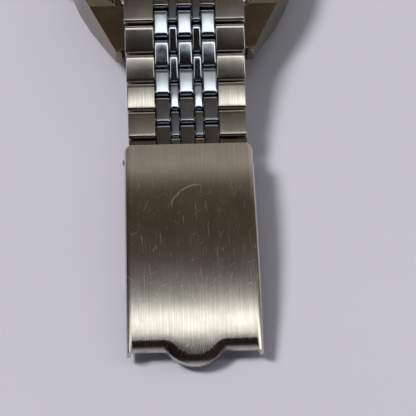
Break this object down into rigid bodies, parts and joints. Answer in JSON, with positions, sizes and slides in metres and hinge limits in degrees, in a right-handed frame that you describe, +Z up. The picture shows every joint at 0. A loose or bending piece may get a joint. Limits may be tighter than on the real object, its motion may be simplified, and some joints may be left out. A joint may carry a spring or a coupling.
{
  "type": "wristwatch",
  "caption": "Steel wristwatch lying on its crystal, with a brushed and polished link bracelet over the case back and a folding clasp whose cover ends in a scalloped thumb lip.",
  "frame": {"origin": "centre of the crystal's outer face, on which the watch lies", "axes": "+Z up, out of the case back; +Y towards the far lugs, away from the clasp; +X right, with the crown on -X"},
  "size_m": [0.0405, 0.0962, 0.0146],
  "materials": {
    "brushed_case_steel": "fine vertical brushing, softly rounded edges",
    "polished_steel": "mirror polished",
    "mineral_glass": "clear polished",
    "nylon_gasket": "moulded",
    "nitrile_gasket": "moulded, matt",
    "lacquered_dial": "sunburst brushed under clear lacquer",
    "movement_brass": "fine grained, gilt",
    "rotor_steel": "circular brushed",
    "brushed_link_steel": "brushed along the bracelet, polished chamfers",
    "polished_link_steel": "mirror polished",
    "brushed_cover_steel": "fine brushing along the bracelet, worn, with scratches",
    "blade_steel": "tumbled"
  },
  "bodies": {
    "head": {"case": "brushed_case_steel", "bezel": "polished_steel", "crystal": "mineral_glass", "crystal_gasket": "nylon_gasket", "dial": "lacquered_dial", "movement_plate": "movement_brass", "case_back": "brushed_case_steel", "case_back_gasket": "nitrile_gasket", "lug_spring_bars": "polished_steel"},
    "hour_hand": {"hour_hand": "polished_steel"},
    "minute_hand": {"minute_hand": "polished_steel"},
    "second_hand": {"second_hand": "polished_steel"},
    "mainspring_barrel": {"mainspring_barrel": "movement_brass"},
    "balance_wheel": {"balance_wheel": "movement_brass"},
    "rotor": {"rotor": "rotor_steel"},
    "clutch": {"clutch_pinion": "polished_steel"},
    "crown": {"winding_stem": "polished_steel", "crown": "polished_steel"},
    "half_a_row_01_outer": {"half_a_row_01_outer": "brushed_link_steel"},
    "half_a_row_02_middle": {"half_a_row_02_middle": "polished_link_steel"},
    "half_a_row_03_outer": {"half_a_row_03_outer": "brushed_link_steel"},
    "half_a_row_04_middle": {"half_a_row_04_middle": "polished_link_steel"},
    "half_a_row_05_outer": {"half_a_row_05_outer": "brushed_link_steel"},
    "half_a_row_06_middle": {"half_a_row_06_middle": "polished_link_steel"},
    "half_a_row_07_outer": {"half_a_row_07_outer": "brushed_link_steel"},
    "half_a_row_08_middle": {"half_a_row_08_middle": "polished_link_steel"},
    "half_a_row_09_outer": {"half_a_row_09_outer": "brushed_link_steel"},
    "half_a_row_10_middle": {"half_a_row_10_middle": "polished_link_steel"},
    "half_a_row_11_outer": {"half_a_row_11_outer": "brushed_link_steel"},
    "half_a_row_12_middle": {"half_a_row_12_middle": "polished_link_steel"},
    "half_a_row_13_outer": {"half_a_row_13_outer": "brushed_link_steel"},
    "half_a_row_14_middle": {"half_a_row_14_middle": "polished_link_steel"},
    "half_a_row_15_outer": {"half_a_row_15_outer": "brushed_link_steel"},
    "half_a_row_16_middle": {"half_a_row_16_middle": "polished_link_steel"},
    "half_a_row_17_outer": {"half_a_row_17_outer": "brushed_link_steel"},
    "half_a_row_18_middle": {"half_a_row_18_middle": "polished_link_steel"},
    "half_a_row_19_outer": {"half_a_row_19_outer": "brushed_link_steel"},
    "half_a_row_20_middle": {"half_a_row_20_middle": "polished_link_steel"},
    "half_a_row_21_outer": {"half_a_row_21_outer": "brushed_link_steel"},
    "half_a_row_22_middle": {"half_a_row_22_middle": "polished_link_steel"},
    "half_a_row_23_outer": {"half_a_row_23_outer": "brushed_link_steel"},
    "half_a_row_24_middle": {"half_a_row_24_middle": "polished_link_steel"},
    "half_a_row_25_outer": {"half_a_row_25_outer": "brushed_link_steel"},
    "half_a_row_26_middle": {"half_a_row_26_middle": "polished_link_steel"},
    "half_a_row_27_outer": {"half_a_row_27_outer": "brushed_link_steel"},
    "half_b_row_01_outer": {"half_b_row_01_outer": "brushed_link_steel"},
    "half_b_row_02_middle": {"half_b_row_02_middle": "polished_link_steel"},
    "half_b_row_03_outer": {"half_b_row_03_outer": "brushed_link_steel"},
    "half_b_row_04_middle": {"half_b_row_04_middle": "polished_link_steel"},
    "half_b_row_05_outer": {"half_b_row_05_outer": "brushed_link_steel"},
    "half_b_row_06_middle": {"half_b_row_06_middle": "polished_link_steel"},
    "half_b_row_07_outer": {"half_b_row_07_outer": "brushed_link_steel"},
    "half_b_row_08_middle": {"half_b_row_08_middle": "polished_link_steel"},
    "half_b_row_09_outer": {"half_b_row_09_outer": "brushed_link_steel"},
    "cover": {"clasp_cover": "brushed_cover_steel", "clasp_spring_bar": "polished_steel", "lip_hinge_pin": "polished_steel"},
    "inner_blade": {"inner_blade": "blade_steel", "blade_hinge_pin": "polished_steel"},
    "outer_blade": {"outer_blade": "blade_steel"}
  },
  "joints": [
    {"name": "second_hand_turn", "type": "hinge", "parent": "head", "child": "second_hand", "pos_m": [0, 0, 0.004], "axis": [0, 0, 1], "continuous": true},
    {"name": "minute_hand_turn", "type": "hinge", "parent": "head", "child": "minute_hand", "pos_m": [0, 0, 0.004], "axis": [0, 0, 1], "continuous": true},
    {"name": "hour_hand_turn", "type": "hinge", "parent": "head", "child": "hour_hand", "pos_m": [0, 0, 0.004], "axis": [0, 0, 1], "continuous": true},
    {"name": "barrel_turn", "type": "hinge", "parent": "head", "child": "mainspring_barrel", "pos_m": [-0.0045, 0.0076, 0.004], "axis": [0, 0, 1], "continuous": true},
    {"name": "balance_swing", "type": "hinge", "parent": "head", "child": "balance_wheel", "pos_m": [0.006, -0.0075, 0.004], "axis": [0, 0, 1], "range_deg": [-150, 150], "stiffness_Nm_per_rad": 0.0000002},
    {"name": "rotor_turn", "type": "hinge", "parent": "head", "child": "rotor", "pos_m": [0, 0, 0.004], "axis": [0, 0, 1], "continuous": true},
    {"name": "crown_pull", "type": "slide", "parent": "head", "child": "clutch", "axis": [-1, 0, 0], "range_m": [0, 0.001]},
    {"name": "crown_turn", "type": "hinge", "parent": "clutch", "child": "crown", "pos_m": [-0.015, 0, 0.0056], "axis": [1, 0, 0], "continuous": true},
    {"name": "half_a_joint_01", "type": "hinge", "parent": "head", "child": "half_a_row_01_outer", "pos_m": [0, 0.01875, 0.0065], "axis": [-1, 0, 0], "range_deg": [0, 90]},
    {"name": "half_a_joint_02", "type": "hinge", "parent": "half_a_row_01_outer", "child": "half_a_row_02_middle", "pos_m": [0, 0.01925, 0.0089], "axis": [-1, 0, 0], "range_deg": [0, 35.98]},
    {"name": "half_a_joint_03", "type": "hinge", "parent": "half_a_row_02_middle", "child": "half_a_row_03_outer", "pos_m": [0, 0.01844, 0.01121], "axis": [-1, 0, 0], "range_deg": [0, 36.99]},
    {"name": "half_a_joint_04", "type": "hinge", "parent": "half_a_row_03_outer", "child": "half_a_row_04_middle", "pos_m": [0, 0.01654, 0.01275], "axis": [-1, 0, 0], "range_deg": [0, 32.68]},
    {"name": "half_a_joint_05", "type": "hinge", "parent": "half_a_row_04_middle", "child": "half_a_row_05_outer", "pos_m": [0, 0.01413, 0.01322], "axis": [-1, 0, 0], "range_deg": [0, 18.89]},
    {"name": "half_a_joint_06", "type": "hinge", "parent": "half_a_row_05_outer", "child": "half_a_row_06_middle", "pos_m": [0, 0.01168, 0.0131], "axis": [-1, 0, 0], "range_deg": [0, 11.31]},
    {"name": "half_a_joint_07", "type": "hinge", "parent": "half_a_row_06_middle", "child": "half_a_row_07_outer", "pos_m": [0, 0.00926, 0.01272], "axis": [-1, 0, 0], "range_deg": [0, 5.64]},
    {"name": "half_a_joint_08", "type": "hinge", "parent": "half_a_row_07_outer", "child": "half_a_row_08_middle", "pos_m": [0, 0.00685, 0.0123], "axis": [-1, 0, 0], "range_deg": [0, 4.31]},
    {"name": "half_a_joint_09", "type": "hinge", "parent": "half_a_row_08_middle", "child": "half_a_row_09_outer", "pos_m": [0, 0.00443, 0.01192], "axis": [-1, 0, 0], "range_deg": [0, 3.56]},
    {"name": "half_a_joint_10", "type": "hinge", "parent": "half_a_row_09_outer", "child": "half_a_row_10_middle", "pos_m": [0, 0.002, 0.0116], "axis": [-1, 0, 0], "range_deg": [0, 3]},
    {"name": "half_a_joint_11", "type": "hinge", "parent": "half_a_row_10_middle", "child": "half_a_row_11_outer", "pos_m": [0, -0.00044, 0.01137], "axis": [-1, 0, 0], "range_deg": [0, 3]},
    {"name": "half_a_joint_12", "type": "hinge", "parent": "half_a_row_11_outer", "child": "half_a_row_12_middle", "pos_m": [0, -0.00288, 0.01125], "axis": [-1, 0, 0], "range_deg": [0, 3]},
    {"name": "half_a_joint_13", "type": "hinge", "parent": "half_a_row_12_middle", "child": "half_a_row_13_outer", "pos_m": [0, -0.00533, 0.01122], "axis": [-1, 0, 0], "range_deg": [0, 3.58]},
    {"name": "half_a_joint_14", "type": "hinge", "parent": "half_a_row_13_outer", "child": "half_a_row_14_middle", "pos_m": [0, -0.00778, 0.01125], "axis": [-1, 0, 0], "range_deg": [0, 4.24]},
    {"name": "half_a_joint_15", "type": "hinge", "parent": "half_a_row_14_middle", "child": "half_a_row_15_outer", "pos_m": [0, -0.01023, 0.01132], "axis": [-1, 0, 0], "range_deg": [0, 5.71]},
    {"name": "half_a_joint_16", "type": "hinge", "parent": "half_a_row_15_outer", "child": "half_a_row_16_middle", "pos_m": [0, -0.01268, 0.01135], "axis": [-1, 0, 0], "range_deg": [0, 8.98]},
    {"name": "half_a_joint_17", "type": "hinge", "parent": "half_a_row_16_middle", "child": "half_a_row_17_outer", "pos_m": [0, -0.01513, 0.01121], "axis": [-1, 0, 0], "range_deg": [0, 12.61]},
    {"name": "half_a_joint_18", "type": "hinge", "parent": "half_a_row_17_outer", "child": "half_a_row_18_middle", "pos_m": [0, -0.01754, 0.01075], "axis": [-1, 0, 0], "range_deg": [0, 12.59]},
    {"name": "half_a_joint_19", "type": "hinge", "parent": "half_a_row_18_middle", "child": "half_a_row_19_outer", "pos_m": [0, -0.01986, 0.00998], "axis": [-1, 0, 0], "range_deg": [0, 8.28]},
    {"name": "half_a_joint_20", "type": "hinge", "parent": "half_a_row_19_outer", "child": "half_a_row_20_middle", "pos_m": [0, -0.02214, 0.00907], "axis": [-1, 0, 0], "range_deg": [0, 4.51]},
    {"name": "half_a_joint_21", "type": "hinge", "parent": "half_a_row_20_middle", "child": "half_a_row_21_outer", "pos_m": [0, -0.02442, 0.00819], "axis": [-1, 0, 0], "range_deg": [0, 3.18]},
    {"name": "half_a_joint_22", "type": "hinge", "parent": "half_a_row_21_outer", "child": "half_a_row_22_middle", "pos_m": [0, -0.02673, 0.00738], "axis": [-1, 0, 0], "range_deg": [0, 3]},
    {"name": "half_a_joint_23", "type": "hinge", "parent": "half_a_row_22_middle", "child": "half_a_row_23_outer", "pos_m": [0, -0.02908, 0.00667], "axis": [-1, 0, 0], "range_deg": [0, 3]},
    {"name": "half_a_joint_24", "type": "hinge", "parent": "half_a_row_23_outer", "child": "half_a_row_24_middle", "pos_m": [0, -0.03146, 0.00608], "axis": [-1, 0, 0], "range_deg": [0, 3]},
    {"name": "half_a_joint_25", "type": "hinge", "parent": "half_a_row_24_middle", "child": "half_a_row_25_outer", "pos_m": [0, -0.03386, 0.0056], "axis": [-1, 0, 0], "range_deg": [0, 3]},
    {"name": "half_a_joint_26", "type": "hinge", "parent": "half_a_row_25_outer", "child": "half_a_row_26_middle", "pos_m": [0, -0.03628, 0.0052], "axis": [-1, 0, 0], "range_deg": [0, 3.46]},
    {"name": "half_a_joint_27", "type": "hinge", "parent": "half_a_row_26_middle", "child": "half_a_row_27_outer", "pos_m": [0, -0.0387, 0.00487], "axis": [-1, 0, 0], "range_deg": [0, 3.82]},
    {"name": "half_b_joint_01", "type": "hinge", "parent": "head", "child": "half_b_row_01_outer", "pos_m": [0, -0.01875, 0.0065], "axis": [1, 0, 0], "range_deg": [0, 15]},
    {"name": "half_b_joint_02", "type": "hinge", "parent": "half_b_row_01_outer", "child": "half_b_row_02_middle", "pos_m": [0, -0.02025, 0.00456], "axis": [1, 0, 0], "range_deg": [0, 5]},
    {"name": "half_b_joint_03", "type": "hinge", "parent": "half_b_row_02_middle", "child": "half_b_row_03_outer", "pos_m": [0, -0.02175, 0.00263], "axis": [1, 0, 0], "range_deg": [0, 31.1]},
    {"name": "half_b_joint_04", "type": "hinge", "parent": "half_b_row_03_outer", "child": "half_b_row_04_middle", "pos_m": [0, -0.02395, 0.00155], "axis": [1, 0, 0], "range_deg": [0, 31.1]},
    {"name": "half_b_joint_05", "type": "hinge", "parent": "half_b_row_04_middle", "child": "half_b_row_05_outer", "pos_m": [0, -0.0264, 0.00155], "axis": [1, 0, 0], "range_deg": [0, 5]},
    {"name": "half_b_joint_06", "type": "hinge", "parent": "half_b_row_05_outer", "child": "half_b_row_06_middle", "pos_m": [0, -0.02885, 0.00155], "axis": [1, 0, 0], "range_deg": [0, 5]},
    {"name": "half_b_joint_07", "type": "hinge", "parent": "half_b_row_06_middle", "child": "half_b_row_07_outer", "pos_m": [0, -0.0313, 0.00155], "axis": [1, 0, 0], "range_deg": [0, 5]},
    {"name": "half_b_joint_08", "type": "hinge", "parent": "half_b_row_07_outer", "child": "half_b_row_08_middle", "pos_m": [0, -0.03375, 0.00155], "axis": [1, 0, 0], "range_deg": [0, 5]},
    {"name": "half_b_joint_09", "type": "hinge", "parent": "half_b_row_08_middle", "child": "half_b_row_09_outer", "pos_m": [0, -0.0362, 0.00155], "axis": [1, 0, 0], "range_deg": [0, 5]},
    {"name": "clasp_hinge", "type": "hinge", "parent": "half_a_row_27_outer", "child": "cover", "pos_m": [0, -0.04114, 0.0046], "axis": [-1, 0, 0], "range_deg": [0, 15]},
    {"name": "inner_blade_hinge", "type": "hinge", "parent": "cover", "child": "inner_blade", "pos_m": [0, -0.06952, 0.00283], "axis": [-1, 0, 0], "range_deg": [0, 110]},
    {"name": "outer_blade_hinge", "type": "hinge", "parent": "inner_blade", "child": "outer_blade", "pos_m": [0, -0.04479, 0.0058], "axis": [1, 0, 0], "range_deg": [0, 100]}
  ],
  "couplings": [
    {"joint": "minute_hand_turn", "follows": "second_hand_turn", "ratio": 0.016667},
    {"joint": "hour_hand_turn", "follows": "second_hand_turn", "ratio": 0.0013889},
    {"joint": "barrel_turn", "follows": "second_hand_turn", "ratio": -0.0020833}
  ]
}
